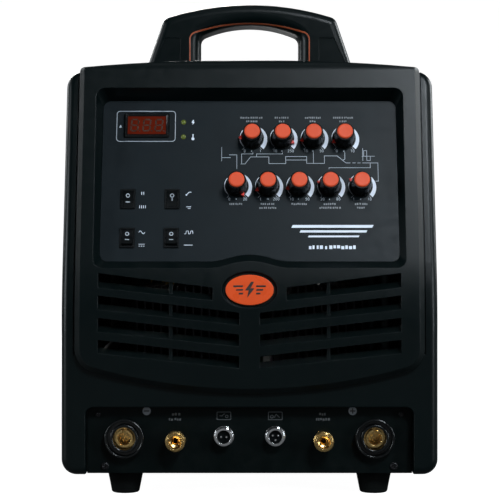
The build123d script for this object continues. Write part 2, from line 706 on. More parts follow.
with BuildPart() as display_frame:
    with BuildSketch(panel_place(*DISPLAY_CENTRE)):
        RectangleRounded(*DISPLAY_FLANGE, DISPLAY_CORNER)
    extrude(amount=DISPLAY_PROUD)
    with BuildSketch(panel_place(*DISPLAY_CENTRE)):
        Rectangle(*DISPLAY_BODY)
    extrude(amount=-DISPLAY_DEPTH)
    with BuildSketch(panel_place(*DISPLAY_CENTRE, lift=DISPLAY_PROUD)):
        Rectangle(DISPLAY_WINDOW[0] + 0.1, DISPLAY_WINDOW[1] + 0.1)
    extrude(amount=-DISPLAY_PROUD - DISPLAY_WINDOW_THICK + DISPLAY_WINDOW_TOP, mode=Mode.SUBTRACT)
    with BuildSketch(panel_place(*DISPLAY_CENTRE, lift=DISPLAY_WINDOW_TOP - DISPLAY_WINDOW_THICK)):
        Rectangle(DISPLAY_WINDOW[0] - 2, DISPLAY_WINDOW[1] - 2)
    extrude(amount=-DISPLAY_DEPTH + 3, mode=Mode.SUBTRACT)
    # bevelled towards the window and towards the panel
    front_face = display_frame.faces().sort_by(Axis(panel_plane.origin, panel_plane.z_dir))[-1]
    chamfer(front_face.edges(), DISPLAY_BEVEL)
display_frame.part.label = "display_frame"
export_step(display_frame.part, "parts/display_frame.step")

with BuildPart() as display_window:
    with BuildSketch(panel_place(*DISPLAY_CENTRE, lift=DISPLAY_WINDOW_TOP)):
        Rectangle(*DISPLAY_WINDOW)
    extrude(amount=-DISPLAY_WINDOW_THICK)
display_window.part.label = "display_window"
export_step(display_window.part, "parts/display_window.step")

with BuildPart() as indicator_leds:
    for u, v in LED_PLACES:
        with BuildSketch(panel_place(u, v, lift=-PANEL_THICK - 1)):
            Circle(LED_RADIUS + 0.5)
        extrude(amount=1)
        with BuildSketch(panel_place(u, v, lift=-PANEL_THICK)):
            Circle(LED_RADIUS)
        extrude(amount=PANEL_THICK + 0.8)
        with Locations(panel_place(u, v, lift=0.8)):
            Sphere(LED_RADIUS, arc_size1=0)
indicator_leds.part.label = "indicator_leds"
export_step(indicator_leds.part, "parts/indicator_leds.step")

# ============================================================== knobs and their pots ====
for name, (u, v, rest_turn) in KNOBS.items():
    seat = panel_place(u, v, rest_turn)
    with BuildPart() as knob:
        with BuildSketch(seat.offset(SKIRT_LOW)):
            Circle(SKIRT_RADIUS)
        extrude(amount=SKIRT_HIGH - SKIRT_LOW)
        # the pointer is a wedge on the skirt that reaches just past its rim
        with BuildSketch(seat.offset(SKIRT_LOW)):
            with Locations((0, POINTER_BASE)):
                Polygon((-POINTER_HALF_WIDTH, 0), (POINTER_HALF_WIDTH, 0), (0, POINTER_LENGTH), align=None)
        extrude(amount=POINTER_HEIGHT)
        with BuildSketch(seat.offset(SKIRT_HIGH)):
            Circle(GRIP_LOW_RADIUS)
        with BuildSketch(seat.offset(KNOB_TOP)):
            Circle(GRIP_HIGH_RADIUS)
        loft()
        with BuildSketch(seat.offset(SKIRT_HIGH)):
            with PolarLocations(GRIP_LOW_RADIUS + FLUTE_RADIUS / 3, FLUTES, start_angle=90 + 180 / FLUTES):
                Circle(FLUTE_RADIUS)
        extrude(amount=KNOB_TOP, mode=Mode.SUBTRACT)
        with BuildSketch(seat.offset(CAP_SEAT)):
            Circle(CAP_RADIUS + CAP_GAP)
        extrude(amount=KNOB_TOP, mode=Mode.SUBTRACT)
        with BuildSketch(seat):
            Circle(NUT_RECESS_RADIUS)
        extrude(amount=NUT_RECESS_TOP, mode=Mode.SUBTRACT)
        with BuildSketch(seat):
            Circle(SPINDLE_RADIUS)
        extrude(amount=SPINDLE_TOP, mode=Mode.SUBTRACT)
    with BuildPart() as spindle:
        with BuildSketch(seat.offset(SPINDLE_LOW)):
            Circle(SPINDLE_RADIUS - 0.05)
        extrude(amount=SPINDLE_TOP - SPINDLE_LOW - 0.1)
    knob_and_spindle = Compound(children=[knob.part, spindle.part])
    knob_and_spindle.label = f"{name}_knob"
    export_step(knob_and_spindle, f"parts/{name}_knob.step")

    with BuildPart() as knob_cap:
        with BuildSketch(seat.offset(CAP_SEAT)):
            Circle(CAP_RADIUS)
        extrude(amount=CAP_TOP - CAP_SEAT)
        fillet(knob_cap.faces().sort_by(Axis(seat.origin, seat.z_dir))[-1].edges(), CAP_EDGE_RADIUS)
    knob_cap.part.label = f"{name}_knob_cap"
    export_step(knob_cap.part, f"parts/{name}_knob_cap.step")

with BuildPart() as potentiometers:
    for u, v, rest_turn in KNOBS.values():
        with BuildSketch(panel_place(u, v, lift=POT_REAR)):
            Circle(POT_RADIUS)
        extrude(amount=POT_FRONT - POT_REAR)
        with BuildSketch(panel_place(u, v, lift=POT_REAR)):
            with Locations((0, -POT_RADIUS)):
                Rectangle(POT_LUG_WIDTH, 8)
        extrude(amount=2)
        with BuildSketch(panel_place(u, v, lift=POT_FRONT)):
            Circle(BUSHING_RADIUS)
        extrude(amount=NUT_TOP - POT_FRONT + 0.5)
        with BuildSketch(panel_place(u, v)):
            RegularPolygon(NUT_RADIUS, 6)
        extrude(amount=NUT_TOP)
        with BuildSketch(panel_place(u, v, lift=POT_REAR + 1.5)):
            Circle(BUSHING_BORE)
        extrude(amount=30, mode=Mode.SUBTRACT)
potentiometers.part.label = "potentiometers"
export_step(potentiometers.part, "parts/potentiometers.step")

with BuildPart() as control_board:
    board_plane = panel_plane.offset(POT_REAR - BOARD_THICK)
    with BuildSketch(board_plane):
        with Locations((0, BOARD_CENTRE_V)):
            RectangleRounded(BOARD_SIZE[0], BOARD_SIZE[1], 3)
        with Locations((0, BOARD_CENTRE_V)):
            with GridLocations(BOARD_SIZE[0] - 10, BOARD_SIZE[1] - 10, 2, 2):
                Circle(1.6, mode=Mode.SUBTRACT)
    extrude(amount=BOARD_THICK)
    with BuildSketch(board_plane):
        with Locations(*BOARD_LONG_CHIPS):
            Rectangle(24, 9)
        with Locations(*BOARD_SQUARE_CHIPS):
            Rectangle(14, 14)
    extrude(amount=-BOARD_CHIP_HEIGHT)
    with BuildSketch(board_plane):
        with Locations(*BOARD_CANS):
            Circle(BOARD_CAN_RADIUS)
    extrude(amount=-BOARD_CAN_HEIGHT)
    with BuildSketch(board_plane):
        with Locations(*BOARD_HEADERS):
            Rectangle(40, 8)
    extrude(amount=-BOARD_HEADER_HEIGHT)
control_board.part.label = "control_board"
export_step(control_board.part, "parts/control_board.step")

# ==================================================================== rocker switches ====
with BuildPart() as rocker_switch_bodies:
    for u, v, pressed in ROCKERS.values():
        with BuildSketch(panel_place(u, v)):
            RectangleRounded(ROCKER_FLANGE[0], ROCKER_FLANGE[1], ROCKER_CORNER)
        extrude(amount=ROCKER_FLANGE[2])
        flange_centre = panel_place(u, v, lift=ROCKER_FLANGE[2]).origin
        flange_face = rocker_switch_bodies.faces().sort_by_distance(flange_centre)[0]
        chamfer(flange_face.edges(), ROCKER_BEVEL)
        with BuildSketch(panel_place(u, v)):
            Rectangle(ROCKER_BODY[0], ROCKER_BODY[1])
        extrude(amount=-ROCKER_BODY[2])
        with BuildSketch(panel_place(u, v, lift=ROCKER_FLANGE[2])):
            Rectangle(*ROCKER_OPENING)
        extrude(amount=-ROCKER_BODY[2] + 1, mode=Mode.SUBTRACT)
        pivot_plane = panel_place(u, v, lift=-ROCKER_PIVOT_DEPTH)
        pin_plane = Plane(origin=pivot_plane.origin, x_dir=pivot_plane.y_dir, z_dir=pivot_plane.x_dir)
        with BuildSketch(pin_plane):
            Circle(ROCKER_PIN_HOLE)
        extrude(amount=ROCKER_OPENING[0] / 2 + 0.5, both=True, mode=Mode.SUBTRACT)
rocker_switch_bodies.part.label = "rocker_switch_bodies"
export_step(rocker_switch_bodies.part, "parts/rocker_switch_bodies.step")

for name, (u, v, pressed) in ROCKERS.items():
    pivot_plane = panel_place(u, v, lift=-ROCKER_PIVOT_DEPTH)
    # side view of the paddle: its own X runs up the panel, its Y out of it
    side_plane = Plane(origin=pivot_plane.origin, x_dir=pivot_plane.y_dir, z_dir=pivot_plane.x_dir)
    swung_plane = turned(side_plane, -pressed * ROCKER_HALF_SWING)
    top_angle = math.radians(ROCKER_TOP_ANGLE)
    low_angle = math.radians(ROCKER_LOW_ANGLE)
    radius = ROCKER_PADDLE_RADIUS
    top_point = (radius * math.cos(top_angle), radius * math.sin(top_angle))
    low_point = (radius * math.cos(low_angle), radius * math.sin(low_angle))
    with BuildPart() as rocker:
        with BuildSketch(swung_plane):
            with BuildLine():
                RadiusArc(top_point, low_point, radius)
                Polyline(low_point, (0, -ROCKER_KEEL), (-low_point[0], low_point[1]))
                RadiusArc((-low_point[0], low_point[1]), (-top_point[0], top_point[1]), radius)
                ThreePointArc((-top_point[0], top_point[1]), (0, ROCKER_DISH), top_point)
            make_face()
        extrude(amount=ROCKER_PADDLE_WIDTH / 2, both=True)
        with BuildSketch(swung_plane):
            Circle(ROCKER_PIN_RADIUS)
        extrude(amount=ROCKER_OPENING[0] / 2 + 0.3, both=True)
    rocker.part.label = f"{name}_rocker"
    export_step(rocker.part, f"parts/{name}_rocker.step")

# ============================================================================== badge ====
with BuildPart() as front_badge:
    with BuildSketch(badge_plane.offset(-BADGE_RECESS)):
        Ellipse(BADGE_RX, BADGE_RZ)
    extrude(amount=BADGE_THICK)
    fillet(front_badge.faces().sort_by(Axis(badge_plane.origin, badge_plane.z_dir))[-1].edges(), 0.8)
front_badge.part.label = "front_badge"
export_step(front_badge.part, "parts/front_badge.step")

# ==================================================================== connector panel ====
def mirrored(place):
    """The same height on both sides of the middle."""
    return [(-place[0], place[1]), place]


with BuildPart() as connector_panel:
    extrude(opening_outline(CONNECTOR_PANEL_Y + CONNECTOR_PANEL_THICK, PANEL_FIT, CASE_BOTTOM + 0.2),
            amount=CONNECTOR_PANEL_THICK)
    for x, z in mirrored(SOCKET_PLACE):
        with Locations(front_place(x, z)):
            Hole(SOCKET_BODY_RADIUS + 0.2, depth=10)
    for x, z in mirrored(COUPLING_PLACE):
        with Locations(front_place(x, z)):
            Hole(COUPLING_TAIL_RADIUS + 0.2, depth=10)
    for x, z in mirrored(SIGNAL_PLACE):
        with Locations(front_place(x, z)):
            Hole(SIGNAL_TAIL_RADIUS + 0.2, depth=10)
    for x, z, head_radius in PANEL_SCREWS:
        for side in (-1, 1):
            with Locations(front_place(side * x, z)):
                Hole(SCREW_SHANK + 0.2, depth=10)
connector_panel.part.label = "connector_panel"
export_step(connector_panel.part, "parts/connector_panel.step")

with BuildPart() as output_socket_shells:
    for x, z in mirrored(SOCKET_PLACE):
        seat = front_place(x, z)
        with BuildSketch(seat):
            Circle(SOCKET_RADIUS)
        extrude(amount=SOCKET_PROUD)
        with BuildSketch(seat.offset(SOCKET_PROUD)):
            Circle(SOCKET_RADIUS - 2.5)
            Circle(SOCKET_RADIUS - 5.5, mode=Mode.SUBTRACT)
        extrude(amount=-SOCKET_PROUD + 3, mode=Mode.SUBTRACT)
        with BuildSketch(seat):
            Circle(SOCKET_BODY_RADIUS)
        extrude(amount=-SOCKET_BODY_LENGTH)
        with BuildSketch(seat.offset(SOCKET_PROUD)):
            Circle(SOCKET_INNER_RADIUS)
        extrude(amount=-SOCKET_PROUD - SOCKET_BODY_LENGTH, mode=Mode.SUBTRACT)
        rims = output_socket_shells.edges().filter_by(GeomType.CIRCLE).filter_by(
            lambda e: abs(e.center().Y - seat.origin.Y + SOCKET_PROUD) < 0.01 and e.center().X * x > 0
        )
        fillet(rims, 1.0)
output_socket_shells.part.label = "output_socket_shells"
export_step(output_socket_shells.part, "parts/output_socket_shells.step")

with BuildPart() as output_socket_contacts:
    for x, z in mirrored(SOCKET_PLACE):
        seat = front_place(x, z, CONNECTOR_PANEL_Y - CONTACT_PROUD)
        with BuildSketch(seat):
            Circle(CONTACT_RADIUS)
        extrude(amount=-CONTACT_LENGTH)
        with BuildSketch(seat.offset(-CONTACT_LENGTH)):
            Circle(CONTACT_STUD_RADIUS)
        extrude(amount=-CONTACT_STUD_LENGTH)
        with BuildSketch(seat.offset(-CONTACT_LENGTH - 2)):
            RegularPolygon(CONTACT_NUT_RADIUS, 6)
        extrude(amount=-6)
        with BuildSketch(seat):
            Circle(CONTACT_BORE)
        extrude(amount=-CONTACT_BORE_DEPTH, mode=Mode.SUBTRACT)
        with BuildSketch(seat):
            with Locations((0, CONTACT_BORE)):
                Rectangle(KEY_WIDTH, 2 * KEY_REACH)
        extrude(amount=-CONTACT_BORE_DEPTH, mode=Mode.SUBTRACT)
        # the nose is turned down so that it stands clear of the shell around it
        with BuildSketch(seat):
            Circle(CONTACT_RADIUS + 1)
            Circle(CONTACT_NOSE_RADIUS, mode=Mode.SUBTRACT)
        extrude(amount=-CONTACT_NOSE_LENGTH, mode=Mode.SUBTRACT)
output_socket_contacts.part.label = "output_socket_contacts"
export_step(output_socket_contacts.part, "parts/output_socket_contacts.step")

with BuildPart() as gas_couplings:
    for x, z in mirrored(COUPLING_PLACE):
        seat = front_place(x, z)
        # half section: X is the distance from the coupling's axis, Y the distance in front of the panel
        section = Plane(origin=seat.origin, x_dir=(1, 0, 0), z_dir=(0, 0, -1))
        with BuildSketch(section):
            with BuildLine():
                Polyline(
                    (COUPLING_BORE, -COUPLING_STUB), (HOSE_BORE - 0.1, -COUPLING_STUB),
                    (HOSE_BORE - 0.1, -COUPLING_TAIL), (COUPLING_TAIL_RADIUS, -COUPLING_TAIL),
                    (COUPLING_TAIL_RADIUS, 0), (COUPLING_NECK_RADIUS, 0),
                    (COUPLING_NECK_RADIUS, COLLAR_LOW), (COLLAR_GROOVE_RADIUS, COLLAR_LOW),
                    (COUPLING_COLLAR_RADIUS, COLLAR_LOW + 0.6), (COUPLING_COLLAR_RADIUS, 13),
                    (COLLAR_GROOVE_RADIUS, 13.6), (COLLAR_GROOVE_RADIUS, 14.8),
                    (COUPLING_COLLAR_RADIUS, 15.4), (COUPLING_COLLAR_RADIUS, COLLAR_HIGH - 0.8),
                    (COLLAR_GROOVE_RADIUS, COLLAR_HIGH), (COUPLING_NOSE_RADIUS, COLLAR_HIGH),
                    (COUPLING_NOSE_RADIUS, COUPLING_LENGTH), (COUPLING_NOSE_RADIUS - 1.4, COUPLING_LENGTH),
                    (COUPLING_NOSE_RADIUS - 2.2, 17), (COUPLING_SEAT_RADIUS, 16),
                    (COUPLING_SEAT_RADIUS, 12), (COUPLING_BORE, 11), close=True,
                )
            make_face()
        revolve(axis=Axis(seat.origin, seat.z_dir))
        with BuildSketch(seat):
            RegularPolygon(COUPLING_HEX_RADIUS, 6)
            Circle(7.0, mode=Mode.SUBTRACT)
        extrude(amount=6)
gas_couplings.part.label = "gas_couplings"
export_step(gas_couplings.part, "parts/gas_couplings.step")

SIGNAL_PINS = {-1: [(-2.6, 0.0), (2.6, 0.0)], 1: [(-2.6, 1.5), (2.6, 1.5), (0.0, -3.0)]}

with BuildPart() as signal_connector_shells:
    for side, pins in SIGNAL_PINS.items():
        seat = front_place(side * SIGNAL_PLACE[0], SIGNAL_PLACE[1])
        with BuildSketch(seat):
            Circle(SIGNAL_FLANGE_RADIUS)
        extrude(amount=2.5)
        with BuildSketch(seat):
            Circle(SIGNAL_RADIUS)
        extrude(amount=SIGNAL_PROUD)
        with BuildSketch(seat):
            Circle(SIGNAL_TAIL_RADIUS)
        extrude(amount=-SIGNAL_TAIL)
        with BuildSketch(seat.offset(SIGNAL_PROUD)):
            Circle(SIGNAL_INSERT_RADIUS + 0.05)
        extrude(amount=-SIGNAL_PROUD - SIGNAL_TAIL, mode=Mode.SUBTRACT)
        rim = signal_connector_shells.edges().filter_by(GeomType.CIRCLE).filter_by(
            lambda e: abs(e.center().Y - seat.origin.Y + SIGNAL_PROUD) < 0.01 and e.center().X * side > 0
            and e.radius > SIGNAL_RADIUS - 1
        )
        fillet(rim, 0.8)
        with BuildSketch(seat.offset(SIGNAL_INSERT_FACE - 4)):
            with Locations(*pins):
                Circle(SIGNAL_PIN_RADIUS)
        extrude(amount=4 + SIGNAL_PIN_PROUD)
signal_connector_shells.part.label = "signal_connector_shells"
export_step(signal_connector_shells.part, "parts/signal_connector_shells.step")

with BuildPart() as signal_connector_inserts:
    for side, pins in SIGNAL_PINS.items():
        seat = front_place(side * SIGNAL_PLACE[0], SIGNAL_PLACE[1])
        with BuildSketch(seat.offset(SIGNAL_INSERT_FACE)):
            Circle(SIGNAL_INSERT_RADIUS)
        extrude(amount=-SIGNAL_INSERT_FACE - SIGNAL_TAIL - 3)
        with BuildSketch(seat.offset(SIGNAL_INSERT_FACE)):
            with Locations(*pins):
                Circle(SIGNAL_PIN_RADIUS + 0.02)
        extrude(amount=-4.02, mode=Mode.SUBTRACT)
signal_connector_inserts.part.label = "signal_connector_inserts"
export_step(signal_connector_inserts.part, "parts/signal_connector_inserts.step")

# ======================================================================= sheet metal ====
def cover_outline(inset=0.0):
    """Front view of the cover, on the XZ plane."""
    with BuildSketch(Plane.XZ.offset(-COVER_REAR_Y)) as outline:
        with Locations((0, (CASE_BOTTOM + COVER_TOP) / 2)):
            Rectangle(2 * (COVER_HALF_WIDTH - inset), COVER_TOP - CASE_BOTTOM - 2 * inset)
        fillet(outline.vertices().group_by(Axis.Y)[-1], COVER_CORNER - inset)
        fillet(outline.vertices().group_by(Axis.Y)[0], 3 - inset)
    return outline.sketch


with BuildPart() as outer_cover:
    length = COVER_REAR_Y - BEZEL_REAR_Y - 0.4
    extrude(cover_outline(), amount=length)
    extrude(cover_outline(COVER_SHEET), amount=length, mode=Mode.SUBTRACT)
    with BuildSketch(Plane.XZ.offset(-COVER_REAR_Y - 1)):
        with Locations((0, CASE_BOTTOM)):
            Rectangle(2 * COVER_FLANGE_X, 10)
    extrude(amount=length + 2, mode=Mode.SUBTRACT)
    # punched side louvres in two blocks
    with BuildSketch(Plane.YZ.offset(-COVER_HALF_WIDTH - 1)):
        for block_y in SIDE_SLOT_BLOCKS:
            with Locations((block_y, SIDE_SLOT_Z)):
                with GridLocations(SIDE_SLOT_PITCH_Y, SIDE_SLOT_PITCH_Z, SIDE_SLOT_COLUMNS, SIDE_SLOT_ROWS):
                    SlotOverall(SIDE_SLOT_LENGTH, SIDE_SLOT_WIDTH)
    extrude(amount=2 * COVER_HALF_WIDTH + 2, mode=Mode.SUBTRACT)
    # screw holes in both sides
    for y, z in COVER_SCREWS:
        with BuildSketch(Plane.YZ.offset(-COVER_HALF_WIDTH - 1)):
            with Locations((y, z)):
                Circle(SCREW_SHANK + 0.2)
        extrude(amount=2 * COVER_HALF_WIDTH + 2, mode=Mode.SUBTRACT)
    # screw holes under the handle
    with BuildSketch(Plane.XY.offset(COVER_TOP - 5)):
        with Locations(*[(x, HANDLE_Y + y) for x, y in HANDLE_SCREWS]):
            Circle(SCREW_SHANK + 0.7)
    extrude(amount=10, mode=Mode.SUBTRACT)
outer_cover.part.label = "outer_cover"
export_step(outer_cover.part, "parts/outer_cover.step")

with BuildPart() as base_pan:
    with BuildSketch(Plane.XY.offset(CASE_BOTTOM)):
        with Locations((0, (PAN_FRONT_Y + PAN_REAR_Y) / 2)):
            Rectangle(2 * PAN_HALF_WIDTH, PAN_REAR_Y - PAN_FRONT_Y)
    extrude(amount=PAN_FRONT_HEIGHT)
    with BuildSketch(Plane.XY.offset(CASE_BOTTOM + PAN_SHEET)):
        with Locations((0, (PAN_FRONT_Y + PAN_REAR_Y) / 2)):
            Rectangle(2 * (PAN_HALF_WIDTH - PAN_SHEET), PAN_REAR_Y - PAN_FRONT_Y - 2 * PAN_SHEET)
    extrude(amount=PAN_FRONT_HEIGHT, mode=Mode.SUBTRACT)
    # the sides and the back are folded up lower than the front
    with BuildSketch(Plane.XY.offset(CASE_BOTTOM + PAN_SIDE_HEIGHT)):
        with Locations((0, PAN_FRONT_Y + PAN_SHEET + 300)):
            Rectangle(2 * PAN_HALF_WIDTH + 2, 600)
    extrude(amount=PAN_FRONT_HEIGHT, mode=Mode.SUBTRACT)
    for place, hole_radius in (
        (SOCKET_PLACE, SOCKET_BODY_RADIUS + 0.5),
        (COUPLING_PLACE, COUPLING_TAIL_RADIUS + 0.5),
        (SIGNAL_PLACE, SIGNAL_TAIL_RADIUS + 0.5),
    ):
        for x, z in mirrored(place):
            with Locations(front_place(x, z, PAN_FRONT_Y)):
                Hole(hole_radius, depth=10)
    for x, z, head_radius in PANEL_SCREWS:
        for side in (-1, 1):
            with Locations(front_place(side * x, z, PAN_FRONT_Y)):
                Hole(SCREW_SHANK + 0.2, depth=10)
    with BuildSketch(Plane.XY.offset(CASE_BOTTOM - 1)):
        with Locations(*[(side * FOOT_X, y) for side in (-1, 1) for y in (FOOT_FRONT_Y, FOOT_REAR_Y)]):
            Circle(SCREW_SHANK + 0.3)
    extrude(amount=5, mode=Mode.SUBTRACT)
base_pan.part.label = "base_pan"
export_step(base_pan.part, "parts/base_pan.step")

# ======================================================================== rear panel ====
with BuildPart() as rear_panel:
    with BuildSketch(Plane.XZ.offset(-REAR_Y)):
        add(case_outline())
    extrude(amount=REAR_Y - COVER_REAR_Y - 0.4)
    rear_edges = rear_panel.faces().sort_by(Axis.Y)[-1].edges()
    fillet(rear_edges, BEZEL_EDGE_RADIUS)
    with BuildSketch(Plane.XZ.offset(-REAR_Y + BEZEL_WALL)):
        add(case_outline(BEZEL_WALL))
    extrude(amount=REAR_Y - COVER_REAR_Y, mode=Mode.SUBTRACT)
    with BuildSketch(Plane.XZ.offset(-REAR_Y)):
        with Locations(FAN_PLACE):
            Circle(FAN_DUCT_RADIUS)
            with GridLocations(FAN_HOLE_PITCH, FAN_HOLE_PITCH, 2, 2):
                Circle(SCREW_SHANK + 0.2)
        with Locations(BREAKER_PLACE):
            Rectangle(BREAKER_WIDTH + 0.6, BREAKER_NOSE_HEIGHT + 0.6)
        with Locations(GAS_INLET_PLACE):
            Circle(INLET_RADIUS + 0.4)
        with Locations(CABLE_PLACE):
            Circle(GLAND_RADIUS + 0.2)
        with Locations(*REAR_SCREWS):
            Circle(SCREW_SHANK + 0.2)
    extrude(amount=20, both=True, mode=Mode.SUBTRACT)
    # room for the base pan, which runs under the rear panel
    with BuildSketch(Plane.XY.offset(CASE_BOTTOM - 1)):
        with Locations((0, COVER_REAR_Y)):
            Rectangle(2 * PAN_HALF_WIDTH + 1.2, 2 * (PAN_REAR_Y - COVER_REAR_Y) + 0.6)
    extrude(amount=BEZEL_WALL + 2, mode=Mode.SUBTRACT)
rear_panel.part.label = "rear_panel"
export_step(rear_panel.part, "parts/rear_panel.step")

# ============================================================================ handle ====
with BuildPart() as handle_base:
    with BuildSketch(Plane.XY.offset(COVER_TOP + 0.1)):
        RectangleRounded(2 * HANDLE_BASE_HALF_WIDTH, 2 * HANDLE_BASE_HALF_DEPTH, HANDLE_BASE_CORNER)
    extrude(amount=HANDLE_BASE_TOP - COVER_TOP - 0.1)
    fillet(handle_base.faces().sort_by(Axis.Z)[-1].edges(), HANDLE_BASE_EDGE_RADIUS)
    with BuildSketch(Plane.XY.offset(COVER_TOP)):
        RectangleRounded(
            2 * (HANDLE_BASE_HALF_WIDTH - HANDLE_BASE_WALL),
            2 * (HANDLE_BASE_HALF_DEPTH - HANDLE_BASE_WALL),
            HANDLE_BASE_CORNER - HANDLE_BASE_WALL,
        )
    extrude(amount=HANDLE_BASE_TOP - COVER_TOP - HANDLE_BASE_WALL, mode=Mode.SUBTRACT)
    with BuildSketch(Plane.XY.offset(COVER_TOP + 0.1)):
        with Locations(*[(x, HANDLE_Y + y) for x, y in HANDLE_SCREWS]):
            Circle(HANDLE_BOSS_RADIUS)
    extrude(amount=HANDLE_BASE_TOP - COVER_TOP - 1)
    with BuildSketch(Plane.XY.offset(COVER_TOP - 1)):
        with Locations(*[(x, HANDLE_Y + y) for x, y in HANDLE_SCREWS]):
            Circle(SCREW_SHANK + 0.2)
    extrude(amount=20, mode=Mode.SUBTRACT)
handle_base.part.label = "handle_base"
export_step(handle_base.part, "parts/handle_base.step")


def grip_opening(y):
    """The hand's opening in the handle, open at the bottom, drawn at depth y."""
    side = GRIP_OPENING_X
    shoulder_z = GRIP_OPENING_SIDE_Z
    with BuildSketch(Plane.XZ.offset(-y)) as outline:
        with BuildLine():
            Polyline((-side, shoulder_z), (-side, 0), (side, 0), (side, shoulder_z))
            ThreePointArc((side, shoulder_z), (0, GRIP_OPENING_TOP), (-side, shoulder_z))
        make_face()
        fillet(outline.vertices().group_by(Axis.Y)[-1], GRIP_OPENING_CORNER)
    return outline.sketch


def trim_arch(y, inset=0.0):
    """The orange line's arch around the hand's opening, drawn at depth y."""
    side = TRIM_HALF_WIDTH - inset
    shoulder_z = TRIM_SIDE_Z - inset
    with BuildSketch(Plane.XZ.offset(-y)) as outline:
        with BuildLine():
            Polyline((-side, shoulder_z), (-side, 0), (side, 0), (side, shoulder_z))
            ThreePointArc((side, shoulder_z), (0, TRIM_TOP - inset), (-side, shoulder_z))
        make_face()
        fillet(outline.vertices().group_by(Axis.Y)[-1], TRIM_CORNER - inset)
    return outline.sketch


with BuildPart() as handle_block:
    with BuildSketch(Plane.XZ.offset(-HANDLE_REAR_Y)):
        with BuildLine():
            Polyline(
                (-HANDLE_CORNER_X, HANDLE_CORNER_Z), (-HANDLE_FOOT_X, HANDLE_BASE_TOP + 0.1),
                (HANDLE_FOOT_X, HANDLE_BASE_TOP + 0.1), (HANDLE_CORNER_X, HANDLE_CORNER_Z),
            )
            Line((HANDLE_CORNER_X, HANDLE_CORNER_Z), (HANDLE_SHOULDER_X, HANDLE_SHOULDER_Z))
            ThreePointArc(
                (HANDLE_SHOULDER_X, HANDLE_SHOULDER_Z), (0, HANDLE_PEAK),
                (-HANDLE_SHOULDER_X, HANDLE_SHOULDER_Z),
            )
            Line((-HANDLE_SHOULDER_X, HANDLE_SHOULDER_Z), (-HANDLE_CORNER_X, HANDLE_CORNER_Z))
        make_face()
    extrude(amount=HANDLE_DEPTH)
    shoulder_edges = handle_block.edges().filter_by(Axis.Y).filter_by(
        lambda e: abs(abs(e.center().X) - HANDLE_CORNER_X) < 0.1
    )
    fillet(shoulder_edges, HANDLE_SHOULDER_RADIUS)
    extrude(grip_opening(HANDLE_REAR_Y), amount=HANDLE_DEPTH, mode=Mode.SUBTRACT)
    outer_rim = handle_block.edges().filter_by(
        lambda e: abs(abs(e.center().Y - HANDLE_Y) - HANDLE_DEPTH / 2) < 0.01
        and (e.center().Z > GRIP_OPENING_TOP + 3 or abs(e.center().X) > GRIP_OPENING_X + 25)
        and e.center().Z > HANDLE_BASE_TOP + 1
    )
    fillet(outer_rim, HANDLE_OUTER_RADIUS)
    inner_rim = handle_block.edges().filter_by(
        lambda e: abs(abs(e.center().Y - HANDLE_Y) - HANDLE_DEPTH / 2) < 0.01
        and e.center().Z < GRIP_OPENING_TOP + 3 and abs(e.center().X) < GRIP_OPENING_X + 2
        and e.center().Z > HANDLE_BASE_TOP + 1
    )
    fillet(inner_rim, HANDLE_INNER_RADIUS)

with BuildPart() as trim_band:
    extrude(trim_arch(HANDLE_REAR_Y + 5), amount=HANDLE_DEPTH + 10)
    extrude(trim_arch(HANDLE_REAR_Y + 5, TRIM_THICK), amount=HANDLE_DEPTH + 10, mode=Mode.SUBTRACT)

with BuildPart() as handle_trim:
    add(handle_block.part)
    add(trim_band.part, mode=Mode.INTERSECT)
handle_trim.part.label = "handle_trim"
export_step(handle_trim.part, "parts/handle_trim.step")

with BuildPart() as handle_grip:
    add(handle_block.part)
    add(trim_band.part, mode=Mode.SUBTRACT)
    # shallow inlays on the front and back of both legs
    for side in (-1, 1):
        with BuildSketch(Plane.XZ.offset(-HANDLE_REAR_Y)):
            Polygon(*[(side * x, z) for x, z in HANDLE_INLAY], align=None)
        extrude(amount=-HANDLE_INLAY_DEPTH, both=True, mode=Mode.SUBTRACT)
        with BuildSketch(Plane.XZ.offset(-HANDLE_REAR_Y + HANDLE_DEPTH)):
            Polygon(*[(side * x, z) for x, z in HANDLE_INLAY], align=None)
        extrude(amount=-HANDLE_INLAY_DEPTH, both=True, mode=Mode.SUBTRACT)
    with BuildSketch(Plane.XY.offset(HANDLE_BASE_TOP)):
        with Locations(*[(x, HANDLE_Y + y) for x, y in HANDLE_SCREWS]):
            Circle(SCREW_SHANK + 0.05)
    extrude(amount=9, mode=Mode.SUBTRACT)
handle_grip.part.label = "handle_grip"
export_step(handle_grip.part, "parts/handle_grip.step")

# ============================================================================== feet ====
with BuildPart() as foot:
    with BuildSketch(Plane.XZ):
        with BuildLine():
            Polyline(
                (FOOT_BORE, CASE_BOTTOM - 0.1), (FOOT_TOP_RADIUS, CASE_BOTTOM - 0.1),
                (FOOT_TOP_RADIUS, CASE_BOTTOM - FOOT_BAND), (FOOT_LOW_RADIUS, 0),
                (FOOT_WELL_RADIUS, 0), (FOOT_WELL_RADIUS, FOOT_WELL_DEPTH),
                (FOOT_BORE, FOOT_WELL_DEPTH), close=True,
            )
        make_face()
    revolve(axis=Axis.Z)
    rim = foot.edges().filter_by(GeomType.CIRCLE).filter_by(
        lambda e: e.center().Z < 0.01 and e.radius > FOOT_WELL_RADIUS + 1
    )
    fillet(rim, FOOT_EDGE_RADIUS)

with BuildPart() as rubber_feet:
    with Locations(*[(side * FOOT_X, y) for side in (-1, 1) for y in (FOOT_FRONT_Y, FOOT_REAR_Y)]):
        add(foot.part)
rubber_feet.part.label = "rubber_feet"
export_step(rubber_feet.part, "parts/rubber_feet.step")


